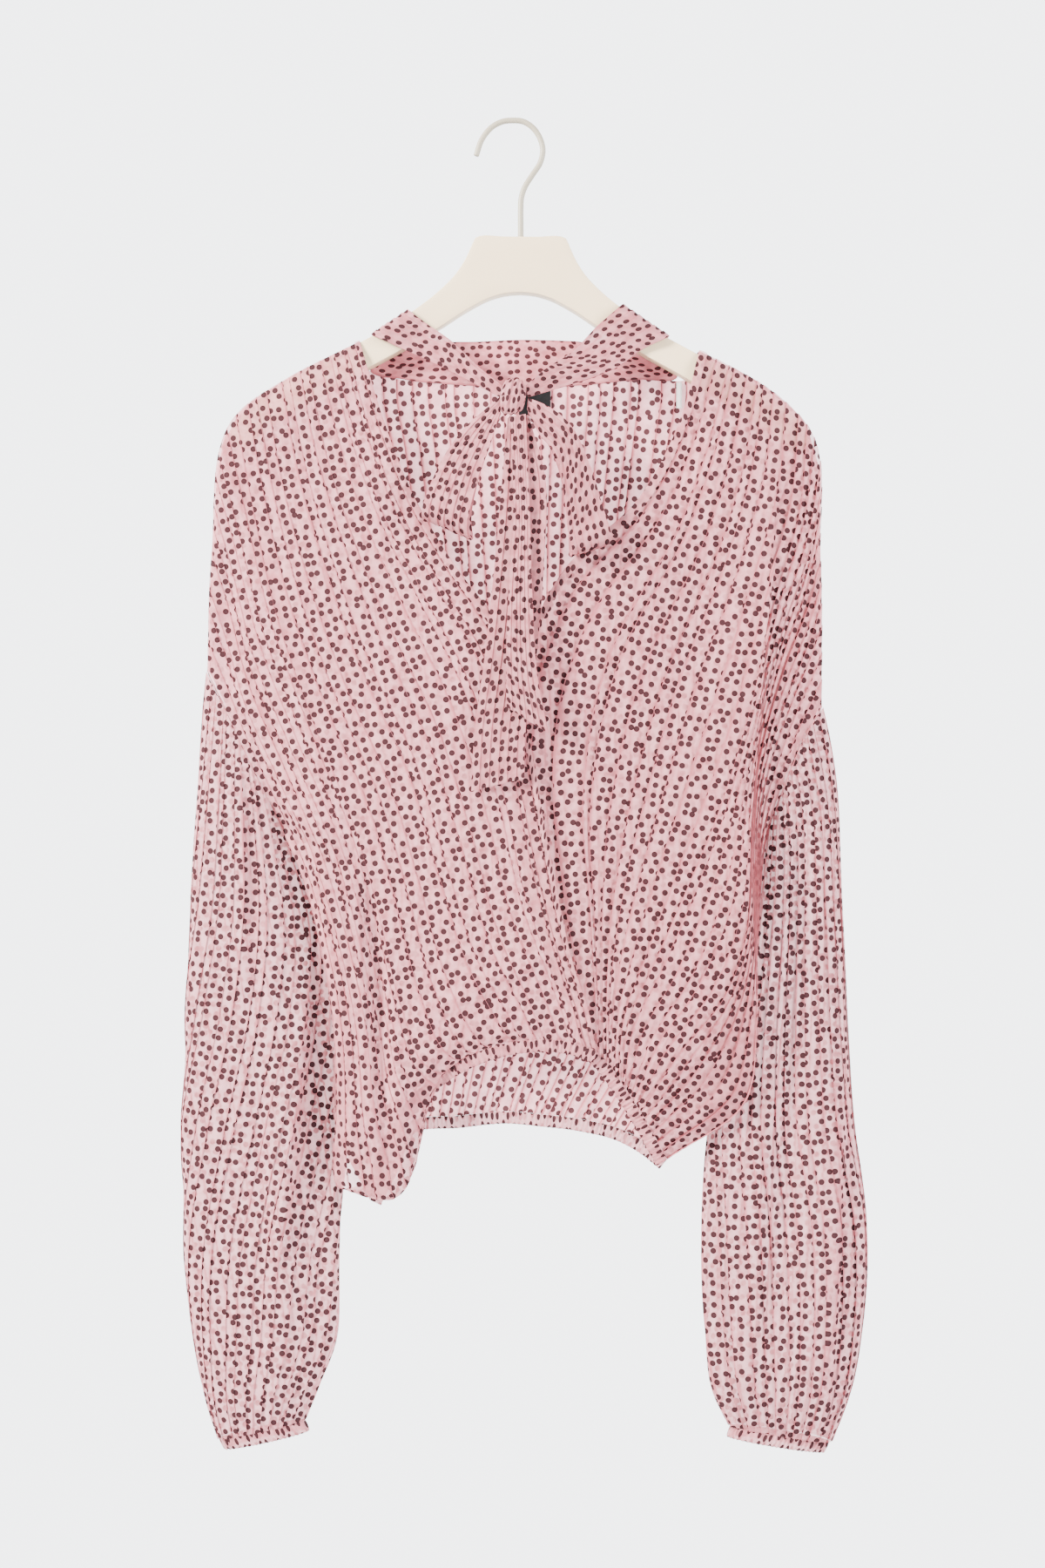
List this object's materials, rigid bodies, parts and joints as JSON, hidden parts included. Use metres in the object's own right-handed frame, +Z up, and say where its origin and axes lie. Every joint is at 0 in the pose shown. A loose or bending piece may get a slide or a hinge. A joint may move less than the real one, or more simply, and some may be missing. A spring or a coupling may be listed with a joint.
{
  "type": "tie neck blouse on a clothes hanger",
  "caption": "Sheer pleated blouse with a wrap front, neck band tied in a bow, long full sleeves and elastic waist and cuffs, hung on a flat hanger with a wire hook.",
  "frame": {"origin": "inside top of the hanger's hook, where the hanger hangs", "axes": "+Z up, +X to the wearer's left, +Y to the back of the blouse"},
  "size_m": [0.4988, 0.0566, 0.9663],
  "materials": {
    "chiffon": "sheer pleated chiffon, pale pink with small dark red dots",
    "hanger_board": "smooth satin, cream",
    "hanger_wire": "coated wire, cream",
    "label": "woven, black, bare",
    "ribbon": "narrow woven ribbon, off white"
  },
  "bodies": {
    "root": {"hanger_board": "hanger_board", "hanger_hook": "hanger_wire", "back": "chiffon", "front_left": "chiffon", "front_right": "chiffon", "sleeve_left": "chiffon", "sleeve_right": "chiffon", "waistband_back": "chiffon", "waistband_front_left": "chiffon", "waistband_front_right": "chiffon", "cuff_left": "chiffon", "cuff_right": "chiffon", "neckband_back": "chiffon", "tie_strap_left": "chiffon", "tie_strap_right": "chiffon", "bow_knot": "chiffon", "bow_loop_left": "chiffon", "bow_loop_right": "chiffon", "tie_tail_front": "chiffon", "tie_tail_back": "chiffon", "neck_label": "label", "hanger_loop": "ribbon"}
  },
  "joints": []
}
